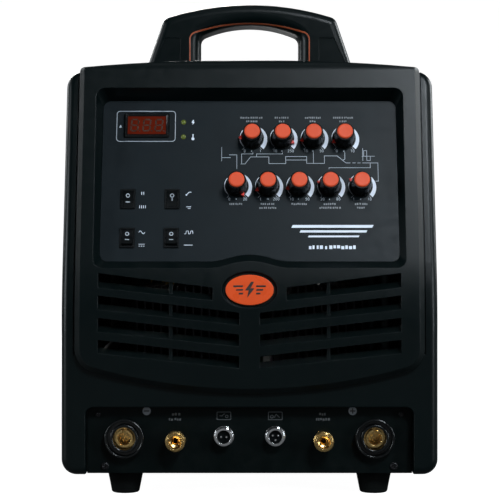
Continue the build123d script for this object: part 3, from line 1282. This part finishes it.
# ============================================================================ screws ====
def screw_shape(head_radius, length):
    """Pan-head screw with a cross recess, its shank along its own -Z."""
    head_height = head_radius * 0.55
    with BuildPart() as screw:
        with BuildSketch(Plane.XY):
            Circle(head_radius)
        extrude(amount=head_height)
        fillet(screw.faces().sort_by(Axis.Z)[-1].edges(), head_height * 0.6)
        with BuildSketch(Plane.XY):
            Circle(SCREW_SHANK)
        extrude(amount=-length)
        with BuildSketch(Plane.XY.offset(head_height)):
            Rectangle(head_radius * 1.15, head_radius * 0.26)
            Rectangle(head_radius * 0.26, head_radius * 1.15)
        extrude(amount=-head_height * 0.7, mode=Mode.SUBTRACT)
    return screw.part


small_screw = screw_shape(*SMALL_SCREW)
large_screw = screw_shape(*LARGE_SCREW)
long_screw = screw_shape(*LONG_SCREW)
with BuildPart() as case_screws:
    for x, z, head_radius in PANEL_SCREWS:
        with Locations(front_place(-x, z), front_place(x, z)):
            add(small_screw if head_radius < 3 else large_screw)
    for y, z in COVER_SCREWS:
        left = Plane(origin=(-COVER_HALF_WIDTH, y, z), x_dir=(0, 1, 0), z_dir=(-1, 0, 0))
        right = Plane(origin=(COVER_HALF_WIDTH, y, z), x_dir=(0, -1, 0), z_dir=(1, 0, 0))
        with Locations(left, right):
            add(large_screw)
    with Locations(*[rear_place(x, z) for x, z in REAR_SCREWS]):
        add(large_screw)
    for dx in (-FAN_HOLE_PITCH / 2, FAN_HOLE_PITCH / 2):
        for dz in (-FAN_HOLE_PITCH / 2, FAN_HOLE_PITCH / 2):
            with Locations(rear_place(FAN_PLACE[0] + dx, FAN_PLACE[1] + dz, REAR_Y + GUARD_TAB)):
                add(large_screw)
    for x, y in HANDLE_SCREWS:
        with Locations(Plane(origin=(x, HANDLE_Y + y, COVER_TOP - COVER_SHEET), z_dir=(0, 0, -1))):
            add(long_screw)
    for side in (-1, 1):
        for y in (FOOT_FRONT_Y, FOOT_REAR_Y):
            with Locations(Plane(origin=(side * FOOT_X, y, FOOT_WELL_DEPTH), z_dir=(0, 0, -1))):
                add(long_screw)
case_screws.part.label = "case_screws"
export_step(case_screws.part, "parts/case_screws.step")

# =============================================================================== fan ====
fan_plane = front_place(*FAN_PLACE, WALL_INNER_Y)
with BuildPart() as fan_housing:
    with BuildSketch(fan_plane):
        RectangleRounded(FAN_SIZE, FAN_SIZE, 10)
        Circle(FAN_DUCT_RADIUS, mode=Mode.SUBTRACT)
        with GridLocations(FAN_HOLE_PITCH, FAN_HOLE_PITCH, 2, 2):
            Circle(SCREW_SHANK + 0.1, mode=Mode.SUBTRACT)
    extrude(amount=FAN_DEPTH)
    # spider that carries the motor, on the side away from the grille
    with BuildSketch(fan_plane.offset(FAN_DEPTH)):
        Circle(FAN_HUB_RADIUS)
        for turn in (0, 45, 90, 135):
            Rectangle(2 * FAN_DUCT_RADIUS + 2, 5, rotation=turn + 22)
    extrude(amount=-4)
    with BuildSketch(fan_plane.offset(FAN_DEPTH)):
        Circle(FAN_SHAFT_RADIUS)
    extrude(amount=-FAN_DEPTH + 8)
fan_housing.part.label = "fan_housing"
export_step(fan_housing.part, "parts/fan_housing.step")

with BuildPart() as fan_rotor:
    for turn in range(FAN_BLADES):
        # each blade is a curved plate drawn across the radius and pushed out along it
        angle = 360 / FAN_BLADES * turn
        root = turned(fan_plane.offset(FAN_DEPTH / 2), angle)
        blade_root = root.origin + root.x_dir * (FAN_HUB_RADIUS - 3)
        blade_plane = Plane(origin=blade_root, x_dir=root.y_dir, z_dir=root.x_dir)
        with BuildSketch(blade_plane):
            with BuildLine():
                blade_line = ThreePointArc(*BLADE_CURVE)
                offset(blade_line, amount=BLADE_HALF_THICK)
            make_face()
        extrude(amount=FAN_TIP_RADIUS - FAN_HUB_RADIUS + 3)
    with BuildSketch(fan_plane):
        Circle(FAN_TIP_RADIUS)
    extrude(amount=FAN_DEPTH, mode=Mode.INTERSECT)
    with BuildSketch(fan_plane.offset(6)):
        Circle(FAN_HUB_RADIUS)
    extrude(amount=FAN_DEPTH - 12)
    with BuildSketch(fan_plane.offset(7.5)):
        Circle(FAN_SHAFT_RADIUS + 0.08)
    extrude(amount=FAN_DEPTH, mode=Mode.SUBTRACT)
fan_rotor.part.label = "fan_rotor"
export_step(fan_rotor.part, "parts/fan_rotor.step")

guard_plane = rear_place(*FAN_PLACE, REAR_Y + GUARD_STAND)
with BuildPart() as fan_guard:
    # concentric rings: small circles beside the fan's axis, turned about it
    ring_section = Plane(origin=guard_plane.origin, x_dir=guard_plane.x_dir, z_dir=guard_plane.y_dir)
    for ring_radius in GUARD_RINGS:
        with BuildSketch(ring_section):
            with Locations((ring_radius, 0)):
                Circle(GUARD_WIRE)
        revolve(axis=Axis(guard_plane.origin, guard_plane.z_dir))
    # two crossing wires behind the rings, each ending in the eyes of two screws
    for turn in (45, 135):
        wire = turned(guard_plane.offset(-GUARD_WIRE_DEPTH), turn)
        half_length = FAN_HOLE_PITCH / math.sqrt(2) - 4
        with BuildSketch(Plane(origin=wire.origin, x_dir=wire.y_dir, z_dir=wire.x_dir)):
            Circle(GUARD_WIRE)
        extrude(amount=half_length, both=True)
    with BuildSketch(rear_place(*FAN_PLACE)):
        with GridLocations(FAN_HOLE_PITCH, FAN_HOLE_PITCH, 2, 2):
            Circle(GUARD_EYE_RADIUS)
            Circle(SCREW_SHANK + 0.2, mode=Mode.SUBTRACT)
    extrude(amount=GUARD_TAB)
fan_guard.part.label = "fan_guard"
export_step(fan_guard.part, "parts/fan_guard.step")

# =========================================================================== breaker ====
toggle_axis_y = REAR_Y + BREAKER_NOSE - TOGGLE_PIVOT_DEPTH
toggle_pivot = (BREAKER_PLACE[0], toggle_axis_y, BREAKER_PLACE[1])
toggle_plane = Plane(origin=toggle_pivot, x_dir=(0, 1, 0), z_dir=(1, 0, 0))
with BuildPart() as breaker_body:
    with BuildSketch(rear_place(*BREAKER_PLACE, WALL_INNER_Y)):
        Rectangle(BREAKER_WIDTH, BREAKER_HEIGHT)
    extrude(amount=-BREAKER_DEPTH)
    with BuildSketch(rear_place(*BREAKER_PLACE, WALL_INNER_Y)):
        Rectangle(BREAKER_WIDTH, BREAKER_NOSE_HEIGHT)
    extrude(amount=BREAKER_NOSE + BEZEL_WALL + 0.1)
    with BuildSketch(rear_place(*BREAKER_PLACE, REAR_Y + BREAKER_NOSE)):
        Rectangle(TOGGLE_POCKET[0], TOGGLE_POCKET[1])
    extrude(amount=-TOGGLE_PIVOT_DEPTH - TOGGLE_HUB_RADIUS - 1, mode=Mode.SUBTRACT)
    with BuildSketch(toggle_plane):
        Circle(TOGGLE_PIN_RADIUS + 0.1)
    extrude(amount=TOGGLE_POCKET[0] / 2 + 2.2, both=True, mode=Mode.SUBTRACT)
breaker_body.part.label = "breaker_body"
export_step(breaker_body.part, "parts/breaker_body.step")

with BuildPart() as breaker_toggle:
    off_plane = turned(toggle_plane, -BREAKER_SWING / 2)
    with BuildSketch(off_plane):
        Circle(TOGGLE_HUB_RADIUS)
        with Locations((TOGGLE_REACH / 2, 0)):
            Rectangle(TOGGLE_REACH, TOGGLE_THICK)
    extrude(amount=TOGGLE_POCKET[0] / 2 - 0.5, both=True)
    tip = breaker_toggle.edges().filter_by(Axis.X).sort_by_distance(off_plane.origin)[-2:]
    fillet(tip, TOGGLE_THICK / 2 - 0.2)
    with BuildSketch(off_plane):
        Circle(TOGGLE_PIN_RADIUS)
    extrude(amount=TOGGLE_POCKET[0] / 2 + 2, both=True)
breaker_toggle.part.label = "breaker_toggle"
export_step(breaker_toggle.part, "parts/breaker_toggle.step")

# ========================================================================= gas valve ====
inlet_x, inlet_z = GAS_INLET_PLACE
with BuildPart() as gas_valve_body:
    with BuildSketch(rear_place(inlet_x, inlet_z, WALL_INNER_Y)):
        Rectangle(*VALVE_BLOCK[:2])
    extrude(amount=-VALVE_BLOCK[2])
    with BuildSketch(Plane.XY.offset(inlet_z + VALVE_BLOCK[1] / 2)):
        with Locations((inlet_x, WALL_INNER_Y - VALVE_BLOCK[2] / 2)):
            Rectangle(COIL_SIZE, COIL_SIZE)
    extrude(amount=COIL_HEIGHT)
    # bore of the plunger, closed at the top and the bottom
    with BuildSketch(Plane.XY.offset(inlet_z - 4)):
        with Locations((inlet_x, WALL_INNER_Y - VALVE_BLOCK[2] / 2)):
            Circle(PLUNGER_RADIUS + PLUNGER_GAP)
    extrude(amount=PLUNGER_LENGTH + PLUNGER_TRAVEL + 1, mode=Mode.SUBTRACT)
    # hexagon and hose barb outside, barb for the inner hose on the other side
    with BuildSketch(rear_place(inlet_x, inlet_z, WALL_INNER_Y)):
        Circle(INLET_RADIUS)
    extrude(amount=BEZEL_WALL + 6)
    with BuildSketch(rear_place(inlet_x, inlet_z, REAR_Y + 1)):
        RegularPolygon(INLET_HEX_RADIUS, 6)
    extrude(amount=6)
    barb_plane = Plane(origin=(inlet_x, REAR_Y + 7, inlet_z), x_dir=(1, 0, 0), z_dir=(0, 0, 1))
    with BuildSketch(barb_plane):
        with BuildLine():
            Polyline(
                (0, 0), (3.4, 0), (3.4, 3), (4.6, 3), (3.4, 8), (4.6, 8), (3.4, 13), (4.6, 13),
                (INLET_TIP_RADIUS, INLET_LENGTH), (0, INLET_LENGTH), close=True,
            )
        make_face()
    revolve(axis=Axis((inlet_x, REAR_Y, inlet_z), (0, 1, 0)))
    with BuildSketch(rear_place(inlet_x, inlet_z, REAR_Y + 7 + INLET_LENGTH)):
        Circle(2.0)
    extrude(amount=-INLET_LENGTH - 18, mode=Mode.SUBTRACT)
    with BuildSketch(rear_place(inlet_x, inlet_z, WALL_INNER_Y - VALVE_BLOCK[2])):
        Circle(HOSE_BORE - 0.1)
    extrude(amount=-HOSE_GRIP)
gas_valve_body.part.label = "gas_valve_body"
export_step(gas_valve_body.part, "parts/gas_valve_body.step")

with BuildPart() as valve_plunger:
    with BuildSketch(Plane.XY.offset(inlet_z - 3.9)):
        with Locations((inlet_x, WALL_INNER_Y - VALVE_BLOCK[2] / 2)):
            Circle(PLUNGER_RADIUS)
    extrude(amount=PLUNGER_LENGTH)
valve_plunger.part.label = "valve_plunger"
export_step(valve_plunger.part, "parts/valve_plunger.step")

hose_start = (inlet_x, WALL_INNER_Y - VALVE_BLOCK[2] - 0.5, inlet_z)
hose_end = (-COUPLING_PLACE[0], CONNECTOR_PANEL_Y + 18, COUPLING_PLACE[1])
with BuildPart() as gas_hose:
    with BuildLine() as hose_path:
        first = Line(hose_start, (hose_start[0], hose_start[1] - HOSE_GRIP - 3, hose_start[2]))
        last = Line((hose_end[0], hose_end[1] + HOSE_GRIP + 3, hose_end[2]), hose_end)
        Spline(first @ 1, *HOSE_ROUTE, last @ 0, tangents=[(0, -1, 0), (0, -1, 0)])
    hose_plane = Plane(origin=hose_start, x_dir=(1, 0, 0), z_dir=(0, -1, 0))
    with BuildSketch(hose_plane):
        Circle(HOSE_RADIUS)
        Circle(HOSE_BORE, mode=Mode.SUBTRACT)
    sweep()
gas_hose.part.label = "gas_hose"
export_step(gas_hose.part, "parts/gas_hose.step")

# ======================================================================= mains cable ====
cable_x, cable_z = CABLE_PLACE
with BuildPart() as cable_gland:
    with BuildSketch(rear_place(cable_x, cable_z, REAR_Y - 12)):
        Circle(GLAND_RADIUS)
    extrude(amount=12 + 6)
    with BuildSketch(rear_place(cable_x, cable_z, WALL_INNER_Y)):
        RegularPolygon(GLAND_HEX_RADIUS, 6)
    extrude(amount=-4)
    with BuildSketch(rear_place(cable_x, cable_z, REAR_Y)):
        RegularPolygon(GLAND_HEX_RADIUS, 6)
    extrude(amount=5)
    with BuildSketch(rear_place(cable_x, cable_z, REAR_Y + 5)):
        Circle(GLAND_HEX_RADIUS * 0.84)
    with BuildSketch(rear_place(cable_x, cable_z, REAR_Y + GLAND_LENGTH)):
        Circle(CABLE_RADIUS + 2.2)
    loft()
    with BuildSketch(rear_place(cable_x, cable_z, REAR_Y + GLAND_LENGTH)):
        Circle(CABLE_RADIUS + 0.1)
    extrude(amount=-60, mode=Mode.SUBTRACT)
cable_gland.part.label = "cable_gland"
export_step(cable_gland.part, "parts/cable_gland.step")

with BuildPart() as mains_cable:
    with BuildLine() as cable_path:
        inside = Line((cable_x, REAR_Y - 40, cable_z), (cable_x, CABLE_OUT_Y, cable_z))
        bend = ThreePointArc(
            inside @ 1,
            (cable_x, CABLE_OUT_Y + CABLE_BEND * math.sin(math.pi / 4),
             cable_z - CABLE_BEND * (1 - math.cos(math.pi / 4))),
            (cable_x, CABLE_OUT_Y + CABLE_BEND, cable_z - CABLE_BEND),
        )
        drop = Line(bend @ 1, (cable_x, CABLE_OUT_Y + CABLE_BEND, CABLE_FLOOR + CABLE_BEND))
        turn_out = ThreePointArc(
            drop @ 1,
            (cable_x - CABLE_BEND * (1 - math.cos(math.pi / 4)), CABLE_OUT_Y + CABLE_BEND,
             CABLE_FLOOR + CABLE_BEND * (1 - math.sin(math.pi / 4))),
            (cable_x - CABLE_BEND, CABLE_OUT_Y + CABLE_BEND, CABLE_FLOOR),
        )
        Line(turn_out @ 1, (cable_x - CABLE_TAIL, CABLE_OUT_Y + CABLE_BEND, CABLE_FLOOR))
    with BuildSketch(Plane(origin=inside @ 0, x_dir=(1, 0, 0), z_dir=(0, 1, 0))):
        Circle(CABLE_RADIUS)
    sweep()
mains_cable.part.label = "mains_cable"
export_step(mains_cable.part, "parts/mains_cable.step")

# ======================================================================= power parts ====
with BuildPart() as inverter_board:
    with BuildSketch(Plane.XY.offset(INVERTER_Z)):
        with Locations((0, INVERTER_Y)):
            RectangleRounded(*INVERTER_SIZE, 4)
    extrude(amount=INVERTER_THICK)
    # bulk capacitors above the board, driver blocks and standoffs below it
    with BuildSketch(Plane.XY.offset(INVERTER_Z + INVERTER_THICK)):
        with Locations((0, INVERTER_Y)):
            with GridLocations(1, CAPACITOR_PITCH, 1, CAPACITORS):
                Circle(CAPACITOR_RADIUS)
    extrude(amount=CAPACITOR_HEIGHT)
    with BuildSketch(Plane.XY.offset(INVERTER_Z)):
        with Locations((0, INVERTER_Y)):
            with GridLocations(70, 60, 3, 3):
                Rectangle(DRIVER_BLOCK[0], DRIVER_BLOCK[1])
    extrude(amount=-DRIVER_BLOCK[2])
    with BuildSketch(Plane.XY.offset(CASE_BOTTOM + PAN_SHEET + 0.1)):
        with Locations((0, INVERTER_Y)):
            with GridLocations(INVERTER_SIZE[0] - 14, INVERTER_SIZE[1] - 14, 2, 2):
                Circle(STANDOFF_RADIUS)
    extrude(amount=INVERTER_Z - CASE_BOTTOM - PAN_SHEET - 0.1)
inverter_board.part.label = "inverter_board"
export_step(inverter_board.part, "parts/inverter_board.step")

with BuildPart() as heatsinks:
    for side in (-1, 1):
        with BuildSketch(Plane.XZ.offset(-HEATSINK_REAR_Y)):
            with Locations((side * HEATSINK_X, INVERTER_Z + 2.1 + HEATSINK_BASE / 2)):
                Rectangle(HEATSINK_WIDTH, HEATSINK_BASE)
            with Locations((side * HEATSINK_X, INVERTER_Z + 2.1 + HEATSINK_HEIGHT / 2)):
                with GridLocations(HEATSINK_FIN_PITCH, 1, HEATSINK_FINS, 1):
                    Rectangle(HEATSINK_FIN, HEATSINK_HEIGHT)
        extrude(amount=HEATSINK_LENGTH)
heatsinks.part.label = "heatsinks"
export_step(heatsinks.part, "parts/heatsinks.step")

transformer_x, transformer_y = TRANSFORMER_PLACE
transformer_z = CASE_BOTTOM + PAN_SHEET + 0.1
with BuildPart() as transformer_core:
    with BuildSketch(Plane.XZ.offset(-transformer_y)):
        with Locations((transformer_x, transformer_z + CORE_HEIGHT / 2)):
            Rectangle(CORE_WIDTH, CORE_HEIGHT)
            with GridLocations(CORE_WIDTH / 2 - 2, 1, 2, 1):
                Rectangle(CORE_WINDOW, CORE_HEIGHT - 2 * CORE_YOKE, mode=Mode.SUBTRACT)
    extrude(amount=CORE_DEPTH / 2, both=True)
transformer_core.part.label = "transformer_core"
export_step(transformer_core.part, "parts/transformer_core.step")

with BuildPart() as transformer_winding:
    winding_low = transformer_z + CORE_YOKE + 0.5
    winding_height = CORE_HEIGHT - 2 * CORE_YOKE - 1
    leg = CORE_WIDTH / 2 - 2 - CORE_WINDOW
    with BuildSketch(Plane.XY.offset(winding_low)):
        with Locations((transformer_x, transformer_y)):
            RectangleRounded(leg + 2 * WINDING_BUILD, CORE_DEPTH + 2 * WINDING_BUILD + 1, WINDING_BUILD)
            Rectangle(leg + 1, CORE_DEPTH + 1, mode=Mode.SUBTRACT)
    extrude(amount=winding_height)
transformer_winding.part.label = "transformer_winding"
export_step(transformer_winding.part, "parts/transformer_winding.step")

with BuildPart() as output_reactor:
    reactor_x, reactor_y = REACTOR_PLACE
    coil_axis = front_place(reactor_x, transformer_z + REACTOR_RADIUS + REACTOR_WIRE, reactor_y)
    for turn in range(REACTOR_TURNS):
        with Locations(coil_axis.offset((turn - (REACTOR_TURNS - 1) / 2) * REACTOR_PITCH)):
            Torus(REACTOR_RADIUS, REACTOR_WIRE)
    with BuildSketch(coil_axis):
        Circle(REACTOR_RADIUS - REACTOR_WIRE / 2)
        Circle(REACTOR_RADIUS - REACTOR_WIRE - 3, mode=Mode.SUBTRACT)
    extrude(amount=REACTOR_TURNS * REACTOR_PITCH / 2, both=True)
output_reactor.part.label = "output_reactor"
export_step(output_reactor.part, "parts/output_reactor.step")
